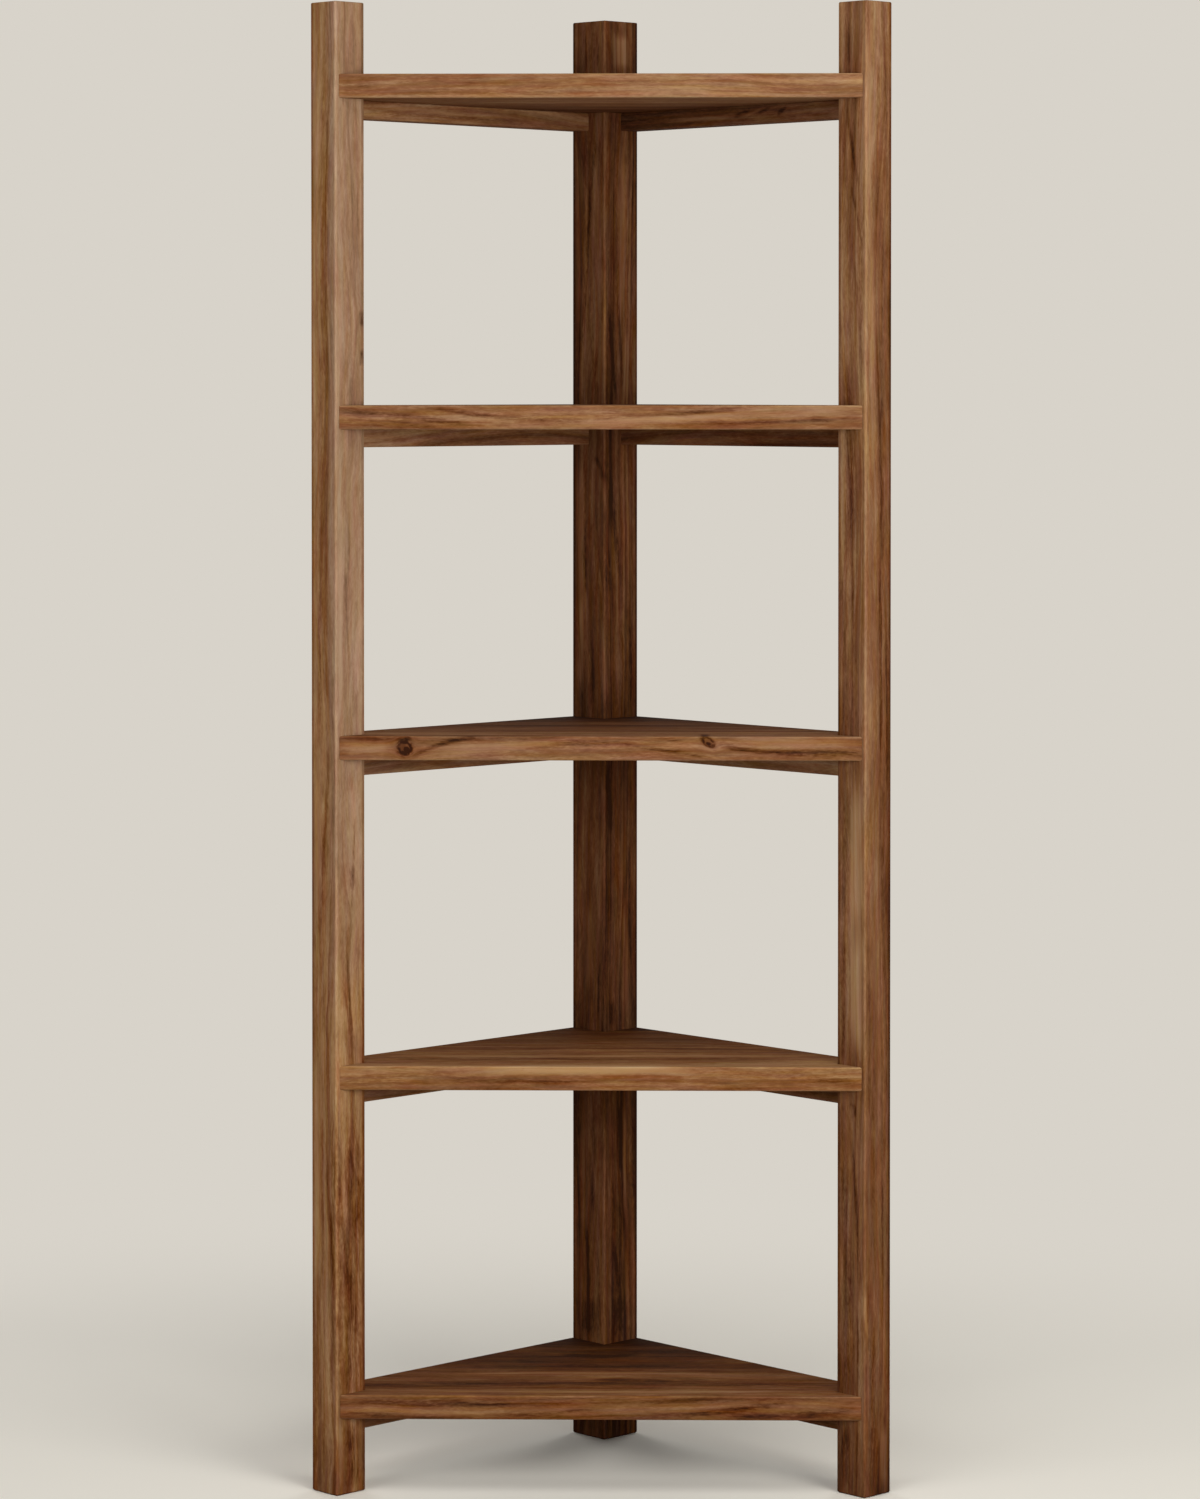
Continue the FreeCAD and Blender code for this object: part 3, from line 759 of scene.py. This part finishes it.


# Grain lines seen in the photograph, and a few broad strokes of painted shade: three pixels, half
# the width in millimetres, and how much darker the line is. Negative is paler.
STROKES = {
    "shelf_5": [
        ((342, 86), (355, 86), (375, 86), 14, 0.10),
        ((600, 89), (700, 88), (800, 87), 5, -0.06),
        ((380, 93), (480, 92), (590, 94), 3, 0.06),
    ],
    "shelf_4": [
        ((341, 412), (400, 416), (470, 425), 3.0, 0.34),
        ((341, 426), (400, 427), (460, 427), 3.0, 0.14),
        ((395, 405), (430, 408), (480, 416), 2.2, 0.14),
        ((432, 405), (500, 417), (585, 420), 2.6, 0.30),
        ((575, 420), (670, 414), (768, 405), 2.6, 0.30),
        ((560, 425), (650, 420), (760, 411), 5.0, -0.20),
        ((740, 413), (800, 411), (861, 409), 7.0, -0.16),
        ((690, 422), (770, 422), (822, 419), 2.6, 0.12),
        ((810, 419), (820, 419), (828, 420), 3.0, 0.16),
        ((825, 420), (845, 418), (861, 417), 2.0, 0.14),
        ((350, 418), (400, 422), (440, 427), 3.0, 0.08),
    ],
    "shelf_3": [
        ((342, 746), (365, 748), (392, 747), 8.0, -0.22),
        ((345, 738), (380, 739), (420, 738), 3.0, 0.10),
        ((397, 739), (405, 739), (412, 738), 2.6, 0.30),
        ((414, 755), (440, 745), (482, 737), 2.6, 0.34),
        ((430, 740), (480, 738), (560, 737), 3.5, 0.16),
        ((425, 754), (480, 748), (560, 748), 6.5, -0.22),
        ((512, 751), (548, 747), (600, 745), 1.8, 0.16),
        ((553, 742), (610, 743), (655, 748), 2.4, 0.24),
        ((640, 747), (675, 752), (712, 759), 2.4, 0.24),
        ((655, 737), (668, 739), (682, 741), 1.8, 0.14),
        ((600, 752), (660, 756), (700, 758), 3.0, 0.12),
        ((712, 744), (750, 750), (800, 753), 3.2, 0.30),
        ((780, 753), (820, 753), (861, 752), 3.4, 0.34),
        ((735, 740), (800, 742), (861, 743), 5.5, -0.24),
        ((735, 757), (800, 758), (861, 757), 2.2, 0.10),
        # On its top
        ((440, 731), (600, 731), (760, 731), 9.0, 0.13),
        ((470, 725), (600, 724), (740, 726), 6.0, -0.16),
    ],
    "shelf_2": [
        ((462, 1071), (560, 1070), (700, 1069), 5.0, -0.36),
        ((425, 1077), (520, 1082), (610, 1082), 4.0, 0.16),
        ((345, 1082), (400, 1083), (440, 1086), 4.0, 0.06),
        ((600, 1077), (615, 1077), (640, 1077), 3.0, 0.10),
        ((640, 1089), (710, 1089), (790, 1089), 1.6, 0.14),
        ((700, 1081), (725, 1084), (760, 1087), 1.8, 0.12),
        ((790, 1076), (830, 1080), (861, 1084), 4.0, 0.18),
        # On its top
        ((400, 1056), (600, 1056), (800, 1056), 5.0, -0.26),
        ((360, 1059), (600, 1059), (840, 1059), 9.0, 0.26),
        ((430, 1049), (600, 1048), (780, 1050), 9.0, 0.19),
        ((520, 1037), (600, 1036), (700, 1038), 9.0, -0.13),
    ],
    "shelf_1": [
        ((350, 1400), (430, 1403), (530, 1405), 3.0, 0.24),
        ((341, 1413), (400, 1417), (470, 1419), 2.6, 0.26),
        ((341, 1408), (420, 1411), (505, 1414), 2.4, -0.16),
        ((480, 1413), (530, 1414), (600, 1407), 2.0, 0.20),
        ((640, 1403), (690, 1400), (735, 1397), 2.4, 0.18),
        ((682, 1416), (725, 1411), (790, 1404), 3.0, 0.32),
        ((780, 1405), (820, 1402), (861, 1399), 2.6, -0.10),
        ((730, 1417), (757, 1417), (790, 1417), 3.2, 0.24),
        ((790, 1417), (830, 1412), (861, 1408), 4.0, 0.22),
        ((640, 1409), (700, 1407), (740, 1404), 2.4, -0.08),
        # On its top
        ((400, 1391), (600, 1392), (830, 1391), 5.0, -0.32),
        ((380, 1385), (600, 1383), (820, 1386), 12.0, 0.22),
        ((590, 1380), (630, 1380), (670, 1381), 7.0, 0.38),
        ((440, 1374), (600, 1373), (760, 1375), 5.0, -0.26),
        ((470, 1368), (600, 1366), (720, 1369), 7.0, 0.16),
        ((560, 1354), (595, 1356), (640, 1354), 8.0, 0.38),
    ],
    "front_left_post": [
        ((316, 12), (316, 100), (315, 190), 7.0, -0.16),
        ((315, 180), (314, 260), (313, 400), 4.0, -0.14),
        ((328, 12), (328, 200), (329, 375), 9.0, 0.08),
        ((331, 290), (331, 330), (330, 390), 1.8, 0.16),
        ((323, 345), (323, 380), (323, 420), 9.0, 0.10),
        ((322, 400), (324, 470), (322, 560), 8.0, 0.10),
        ((315, 560), (315, 640), (315, 745), 4.0, -0.12),
        ((321, 545), (320, 640), (321, 750), 2.6, 0.22),
        ((332, 590), (333, 670), (332, 745), 2.6, 0.18),
        ((329, 745), (325, 830), (321, 930), 2.6, 0.24),
        ((316, 760), (317, 850), (315, 930), 6.0, -0.16),
        ((333, 750), (333, 800), (332, 850), 3.6, 0.14),
        ((321, 925), (323, 990), (326, 1040), 4.0, 0.14),
        ((316, 1050), (317, 1150), (316, 1290), 7.0, -0.22),
        ((322, 1110), (322, 1200), (324, 1300), 2.6, 0.16),
        ((326, 1150), (330, 1220), (335, 1310), 3.0, 0.18),
        ((316, 1310), (316, 1400), (316, 1485), 3.6, 0.16),
        ((324, 1300), (324, 1390), (323, 1480), 2.6, 0.14),
        ((332, 1320), (331, 1400), (331, 1480), 3.0, 0.12),
        ((352, 12), (353, 40), (352, 72), 2.2, 0.10),
        ((358, 190), (358, 210), (359, 235), 1.8, 0.20),
        ((344, 250), (348, 290), (350, 345), 1.8, 0.14),
        ((361, 310), (361, 318), (362, 327), 4.0, 0.34),
        ((362, 350), (363, 358), (362, 366), 4.0, 0.34),
        ((348, 520), (349, 545), (348, 575), 1.6, 0.18),
        ((345, 556), (347, 620), (352, 690), 2.0, 0.20),
        ((351, 640), (354, 700), (352, 735), 2.0, 0.16),
        ((357, 690), (357, 705), (357, 716), 3.0, 0.18),
        ((355, 820), (353, 870), (351, 920), 1.8, 0.26),
        ((352, 868), (352, 879), (352, 888), 3.4, 0.34),
        ((346, 925), (349, 990), (355, 1055), 2.0, 0.32),
        ((343, 985), (349, 1020), (352, 1060), 2.0, 0.20),
        ((357, 930), (358, 980), (360, 1030), 3.0, 0.12),
        ((351, 1100), (352, 1260), (352, 1450), 16.0, 0.27),
        ((354, 1105), (356, 1140), (360, 1170), 4.0, 0.16),
        ((350, 1140), (354, 1170), (362, 1188), 2.4, 0.20),
        ((359, 1170), (360, 1200), (359, 1240), 9.0, 0.12),
        ((361, 1212), (354, 1228), (361, 1243), 2.4, 0.14),
        ((337, 1160), (344, 1240), (354, 1320), 2.4, 0.15),
        ((341, 1150), (349, 1230), (359, 1290), 2.6, -0.08),
        ((343, 1262), (345, 1274), (346, 1286), 3.6, 0.14),
        ((352, 1260), (356, 1320), (360, 1375), 4.0, 0.13),
        ((345, 1320), (348, 1350), (352, 1385), 2.4, 0.17),
        ((340, 1420), (341, 1450), (341, 1488), 4.0, -0.24),
        ((339, 200), (340, 300), (340, 390), 3.6, -0.08),
        ((339, 420), (340, 580), (340, 730), 3.6, -0.12),
        ((349, 430), (350, 500), (350, 570), 8.0, -0.09),
        ((338, 1110), (338, 1240), (339, 1380), 5.0, 0.26),
        ((319, 1425), (319, 1450), (319, 1485), 2.6, 0.14),
        ((353, 1422), (353, 1450), (353, 1488), 3.0, 0.26),
        # Painted shade at the top of the foot, under the lowest board, in the next two strokes.
        ((350, 1424), (350, 1436), (350, 1452), 12.0, 0.10),
        ((352, 1430), (352, 1460), (352, 1490), 12.0, 0.07),
        ((349, 1425), (350, 1450), (350, 1488), 2.6, 0.13),
        ((358, 1425), (358, 1450), (357, 1488), 2.6, 0.16),
    ],
    "front_right_post": [
        ((846, 12), (847, 40), (846, 72), 4.0, 0.16),
        ((857, 12), (857, 40), (857, 72), 6.0, -0.10),
        ((868, 12), (869, 110), (868, 200), 5.0, -0.14),
        ((885, 12), (886, 80), (885, 190), 3.0, 0.20),
        ((879, 40), (878, 120), (877, 200), 2.4, 0.10),
        ((847, 102), (852, 145), (860, 192), 2.6, 0.26),
        ((842, 105), (844, 150), (847, 200), 3.4, 0.12),
        ((851, 185), (857, 215), (862, 250), 2.4, 0.30),
        ((862, 200), (861, 290), (862, 380), 2.6, 0.32),
        ((844, 200), (852, 250), (857, 320), 4.0, 0.10),
        ((872, 200), (873, 300), (872, 400), 6.0, -0.10),
        ((881, 200), (883, 290), (880, 380), 4.0, 0.14),
        ((846, 360), (850, 450), (849, 560), 7.0, 0.27),
        ((872, 380), (873, 470), (870, 570), 6.0, -0.09),
        ((882, 380), (881, 470), (884, 570), 6.0, 0.16),
        ((842, 560), (845, 650), (846, 735), 5.0, 0.20),
        ((852, 560), (854, 650), (851, 735), 2.4, 0.26),
        ((872, 560), (872, 660), (871, 760), 6.0, -0.14),
        ((879, 560), (881, 660), (880, 760), 2.0, 0.28),
        ((887, 600), (887, 690), (887, 790), 3.0, 0.18),
        ((847, 770), (845, 850), (842, 930), 7.0, 0.22),
        ((857, 780), (857, 860), (856, 940), 9.0, -0.48),
        ((861, 500), (860, 610), (861, 730), 4.0, -0.14),
        ((850, 455), (850, 500), (850, 550), 12.0, 0.09),
        ((850, 1112), (850, 1140), (850, 1180), 12.0, -0.12),
        # Painted shade at the top of the foot, under the lowest board.
        ((850, 1424), (850, 1436), (850, 1452), 12.0, 0.08),
        ((875, 770), (875, 900), (874, 1030), 7.0, -0.12),
        ((883, 750), (882, 850), (884, 940), 4.0, 0.14),
        ((843, 930), (843, 1000), (844, 1060), 4.0, 0.30),
        ((858, 930), (857, 1000), (858, 1060), 9.0, -0.48),
        ((868, 940), (869, 1030), (869, 1120), 2.0, 0.14),
        ((884, 950), (884, 1040), (885, 1120), 5.0, 0.08),
        ((877, 930), (877, 1000), (877, 1080), 10.0, -0.08),
        ((877, 1290), (877, 1345), (877, 1405), 10.0, 0.07),
        ((877, 10), (877, 40), (877, 80), 10.0, 0.06),
        ((852, 1103), (854, 1110), (853, 1118), 3.6, 0.30),
        ((843, 1110), (845, 1200), (850, 1300), 7.0, 0.24),
        ((849, 1120), (856, 1200), (860, 1300), 2.6, 0.34),
        ((867, 1120), (868, 1200), (870, 1290), 7.0, -0.12),
        ((884, 1110), (883, 1200), (885, 1300), 3.0, 0.20),
        ((866, 1290), (866, 1310), (868, 1340), 2.0, -0.26),
        ((848, 1250), (848, 1330), (848, 1395), 9.0, 0.26),
        ((858, 1310), (858, 1350), (859, 1390), 2.2, 0.22),
        ((872, 1320), (872, 1400), (871, 1488), 6.0, 0.20),
        ((883, 1425), (883, 1457), (883, 1489), 6.0, -0.36),
        ((845, 1425), (845, 1455), (846, 1488), 7.0, 0.26),
        ((859, 1425), (857, 1455), (858, 1488), 3.0, 0.14),
    ],
    "back_post": [
        ((578, 34), (578, 50), (578, 70), 5.0, -0.14),
        ((586, 34), (586, 50), (586, 70), 1.8, 0.16),
        ((595, 34), (596, 50), (596, 70), 4.0, 0.10),
        ((620, 34), (621, 50), (621, 70), 13.0, -0.32),
        ((578, 132), (579, 230), (577, 340), 6.0, -0.16),
        ((594, 150), (589, 220), (586, 290), 2.6, 0.22),
        ((586, 260), (585, 300), (582, 350), 2.4, 0.28),
        ((622, 130), (622, 230), (621, 330), 5.0, -0.22),
        ((633, 140), (633, 230), (632, 330), 2.6, 0.12),
        ((608, 300), (612, 350), (616, 400), 2.4, 0.34),
        ((617, 290), (619, 330), (622, 380), 2.2, 0.24),
        ((626, 330), (626, 370), (625, 402), 4.0, -0.20),
        ((594, 350), (595, 375), (595, 402), 5.0, 0.18),
        ((586, 450), (585, 510), (586, 600), 2.6, 0.28),
        ((579, 450), (579, 520), (579, 640), 5.0, -0.22),
        ((594, 455), (600, 467), (603, 480), 4.0, 0.26),
        ((609, 470), (614, 520), (620, 580), 4.0, 0.24),
        ((603, 480), (609, 530), (613, 580), 3.0, -0.12),
        ((609, 550), (608, 570), (609, 590), 3.6, 0.30),
        ((628, 450), (628, 520), (628, 600), 4.0, -0.14),
        ((581, 600), (581, 650), (581, 690), 4.0, -0.26),
        ((591, 640), (592, 680), (593, 712), 4.0, 0.22),
        ((603, 620), (603, 660), (605, 700), 2.6, -0.14),
        ((630, 620), (631, 660), (631, 712), 4.0, 0.16),
        ((584, 765), (584, 830), (586, 900), 4.0, -0.06),
        ((608, 770), (609, 795), (611, 830), 3.6, 0.24),
        ((601, 765), (602, 830), (600, 900), 2.4, -0.12),
        ((625, 765), (624, 830), (621, 900), 4.0, -0.18),
        ((630, 830), (629, 900), (631, 960), 2.4, 0.24),
        ((590, 900), (590, 940), (588, 990), 6.0, -0.20),
        ((600, 960), (599, 990), (598, 1020), 2.4, 0.30),
        ((623, 900), (625, 950), (625, 1020), 5.0, -0.20),
        ((611, 1000), (612, 1010), (612, 1024), 5.0, 0.22),
        ((584, 1100), (583, 1160), (583, 1240), 4.0, -0.14),
        ((594, 1095), (593, 1150), (592, 1220), 4.0, 0.18),
        ((620, 1110), (621, 1140), (620, 1170), 2.6, 0.34),
        ((625, 1100), (625, 1150), (624, 1215), 2.6, -0.26),
        ((632, 1100), (632, 1160), (633, 1220), 3.0, 0.14),
        ((586, 1225), (588, 1270), (589, 1330), 3.0, 0.26),
        ((580, 1230), (580, 1280), (580, 1330), 3.0, -0.14),
        ((613, 1240), (618, 1280), (622, 1330), 3.0, 0.24),
        ((622, 1225), (625, 1270), (629, 1330), 3.6, -0.18),
        ((597, 1240), (599, 1290), (600, 1335), 2.6, 0.14),
        # Painted shade on the back post just above the lowest board.
        ((590, 1298), (590, 1320), (590, 1335), 16.0, 0.20),
        ((621, 1298), (621, 1320), (621, 1335), 14.0, 0.16),
        # Painted shade on the back post just under the top board.
        ((591, 136), (591, 150), (591, 168), 16.0, 0.09),
        ((621, 136), (621, 150), (621, 168), 14.0, 0.05),
    ],
    "left_rail_5": [
        ((370, 105), (440, 112), (520, 117), 3.0, -0.12),
        ((380, 113), (450, 117), (520, 121), 2.0, 0.12),
    ],
    "right_rail_5": [
        ((734, 117), (743, 113), (751, 109), 2.4, 0.24),
        ((745, 117), (753, 113), (762, 109), 2.0, -0.14),
        ((757, 115), (764, 111), (770, 108), 2.2, 0.20),
        ((777, 115), (782, 111), (787, 106), 3.0, 0.26),
        ((668, 120), (700, 119), (735, 118), 3.0, -0.14),
    ],
}

KNOTS = {
    "shelf_3": [
        Knot(405, 748, 7.5 * MM, 7.5 * MM, 0, 1.0),
        Knot(708, 742, 8.5 * MM, 4.5 * MM, -38, 0.7),
    ],
}


def make_wooden(node, axes, timber):
    """Gives one node its wood, with the lines and knots that the photograph shows on it."""
    dress(node, Wood(node, axes, timber).build(STROKES.get(node, ()), KNOTS.get(node, ())))


POST_AXES = (UPWARD, RIGHT_SIDE, LEFT_SIDE)
BOARD_AXES = (ACROSS, BACKWARD, UPWARD)
RAIL_AXES = {
    "left": (LEFT_SIDE, RIGHT_SIDE, UPWARD),
    "right": (RIGHT_SIDE, LEFT_SIDE, UPWARD),
}

POSTS = {
    "front_left_post": Timber(
        seed=1.3, pith=(70 * MM, 42 * MM), tone=0.37, lean=(0.05, 0.0, 0.0), contrast=0.75,
        richness=1.05, is_post=True, joint_shade=0.9, joint_shade_axis=2,
        # A painted sheen pales the upper part of this post's right face.
        painted_sheen=PaintedSheen(axis=1, share=0.95, none_at=-0.32, full_at=0.0),
    ),
    "front_right_post": Timber(
        seed=2.6, pith=(-52 * MM, 64 * MM), tone=0.494, lean=(-0.035, 0.055, -0.065),
        contrast=0.75, is_post=True, joint_shade=1.1, joint_shade_axis=1,
    ),
    # The back post's dark tone is partly its wood and partly painted shade of the corner it stands in.
    "back_post": Timber(
        seed=3.9, pith=(46 * MM, -58 * MM), tone=0.73, contrast=0.9, is_post=True, joint_shade=0.3,
    ),
}
for node, timber in POSTS.items():
    make_wooden(node, POST_AXES, timber)

# Boards are darker towards the back post: painted shade, where the board above keeps the light off.
PANEL = dict(stave=66 * MM, wave=5 * MM, contrast=0.75)
PANEL_SHADE_LEAN = (0.0, 0.27, 0.0)
LOW_PANEL_SHADE_LEAN = (0.0, 0.32, 0.0)
BOARDS = {
    "shelf_1": Timber(
        seed=11.2, pith=(-20 * MM, -46 * MM), spacing=6 * MM, tone=0.765, richness=1.03,
        lean=LOW_PANEL_SHADE_LEAN, **PANEL,
    ),
    "shelf_2": Timber(
        seed=12.4, pith=(8 * MM, -70 * MM), tone=0.61, richness=1.05, lean=PANEL_SHADE_LEAN, **PANEL,
    ),
    "shelf_3": Timber(seed=13.1, pith=(-10 * MM, -52 * MM), tone=0.755, lean=PANEL_SHADE_LEAN, **PANEL),
    "shelf_4": Timber(seed=14.7, pith=(5 * MM, -60 * MM), tone=0.62, lean=PANEL_SHADE_LEAN, **PANEL),
    "shelf_5": Timber(
        seed=15.5, pith=(12 * MM, -80 * MM), spacing=6 * MM, tone=0.625, lean=PANEL_SHADE_LEAN, **PANEL,
    ),
}
for node, timber in BOARDS.items():
    make_wooden(node, BOARD_AXES, timber)

# Rails are paler at their front ends. Their tones are in the order of the tiers.
RAIL = dict(pith=(30 * MM, -24 * MM), spacing=6 * MM, richness=0.98, lean=(-0.10, 0.0, 0.0))
# The right rails' darker tones are partly painted shade: their faces turn away from the front-right key
# lamp.
RAIL_TONES = {"left": (0.56, 0.52, 0.50, 0.48, 0.53), "right": (0.72, 0.72, 0.44, 0.73, 0.75)}
RAIL_SEED = 20.0
TIER_SEED_STEP = 1.7
SIDE_SEED_STEP = 9.1
for tier in range(1, len(BOARDS) + 1):
    for number, (side, axes) in enumerate(RAIL_AXES.items()):
        seed = RAIL_SEED + tier * TIER_SEED_STEP + number * SIDE_SEED_STEP
        timber = Timber(seed=seed, tone=RAIL_TONES[side][tier - 1], **RAIL)
        make_wooden(f"{side}_rail_{tier}", axes, timber)

steel = make_steel("zinc_plate")
for tier in range(1, len(BOARDS) + 1):
    dress(f"shelf_{tier}_screws", steel)


# Floor and background. The floor fades into the background between two distances from the middle.

BACKGROUND = colour(216, 211, 202)
FLOOR_COLOUR = colour(252, 249, 240)
FLOOR_BOUNCE = colour(94, 70, 46)  # what light that strikes the stand from below takes on
FLOOR_REACH = 60.0
FLOOR_SIDES = 96
FLOOR_FADE = (0.4, 1.7)


def make_floor_material():
    """A pale floor that runs into the background away from the stand."""
    material, s = new_material("pale_floor")
    x, y, _ = s.parts(s.add("ShaderNodeTexCoord").outputs["Object"])
    fade = s.steps(s.length(x, y), *FLOOR_FADE)
    looked_at = s.looked_at()
    matt = s.add("ShaderNodeBsdfDiffuse")
    s.feed(matt.inputs["Color"], s.blend(looked_at, FLOOR_BOUNCE, FLOOR_COLOUR))
    plain = s.add("ShaderNodeEmission")
    plain.inputs["Color"].default_value = BACKGROUND
    s.finish(s.mix(s.times(fade, looked_at), matt.outputs[0], plain.outputs[0]))
    return material


corners = [math.tau * step / FLOOR_SIDES for step in range(FLOOR_SIDES)]
floor_mesh = bpy.data.meshes.new("floor")
floor_mesh.from_pydata(
    [(FLOOR_REACH * math.cos(turn), FLOOR_REACH * math.sin(turn), cad_low.z) for turn in corners],
    [],
    [range(FLOOR_SIDES)],
)
floor = bpy.data.objects.new("floor", floor_mesh)
floor_mesh.materials.append(make_floor_material())
bpy.context.collection.objects.link(floor)


# Light. Each lamp stands at an azimuth, where 0 is the front, and a rise, both in degrees, and at a
# gap from the stand's middle. Its power is in watts.

AMBIENT_TINT = (1.0, 0.985, 0.96)
AMBIENT_STRENGTH = 0.11
LAMPS = {
    "key": dict(azimuth=38, rise=5, gap=3.4, size=2.2, power=88, tint=(1.0, 0.97, 0.92)),
    "fill": dict(azimuth=-42, rise=4, gap=3.8, size=2.6, power=70, tint=(1.0, 0.98, 0.96)),
    "overhead": dict(azimuth=5, rise=60, gap=3.0, size=1.6, power=26, tint=(1.0, 0.98, 0.95)),
    "back_right": dict(azimuth=152, rise=0, gap=4.2, size=2.4, power=95, tint=(1.0, 0.98, 0.96)),
    "back_left": dict(azimuth=-152, rise=0, gap=4.2, size=2.4, power=95, tint=(1.0, 0.98, 0.96)),
}

world = bpy.data.worlds.new("studio")
world.use_nodes = True
sky = Shader(world.node_tree)
ambient = sky.add("ShaderNodeBackground")
ambient.inputs["Color"].default_value = (*AMBIENT_TINT, 1)
ambient.inputs["Strength"].default_value = AMBIENT_STRENGTH
backdrop = sky.add("ShaderNodeBackground")
backdrop.inputs["Color"].default_value = BACKGROUND
sky.finish(sky.mix(sky.looked_at(), ambient.outputs[0], backdrop.outputs[0]), "ShaderNodeOutputWorld")
bpy.context.scene.world = world

stand_middle = (cad_low + cad_high) / 2
for name, lamp in LAMPS.items():
    light = bpy.data.lights.new(name, "AREA")
    light.shape = "DISK"
    light.size = lamp["size"]
    light.energy = lamp["power"]
    light.color = lamp["tint"]
    turn = math.radians(lamp["azimuth"])
    rise = math.radians(lamp["rise"])
    toward = Vector((math.sin(turn) * math.cos(rise), -math.cos(turn) * math.cos(rise), math.sin(rise)))
    holder = bpy.data.objects.new(name, light)
    holder.location = stand_middle + toward * lamp["gap"]
    holder.rotation_euler = toward.to_track_quat("Z", "Y").to_euler()
    holder.visible_camera = False
    # Lamps behind the stand leave no sheen on the boards.
    holder.visible_glossy = abs(lamp["azimuth"]) < 90
    bpy.context.collection.objects.link(holder)

bpy.context.scene.view_settings.view_transform = "Standard"
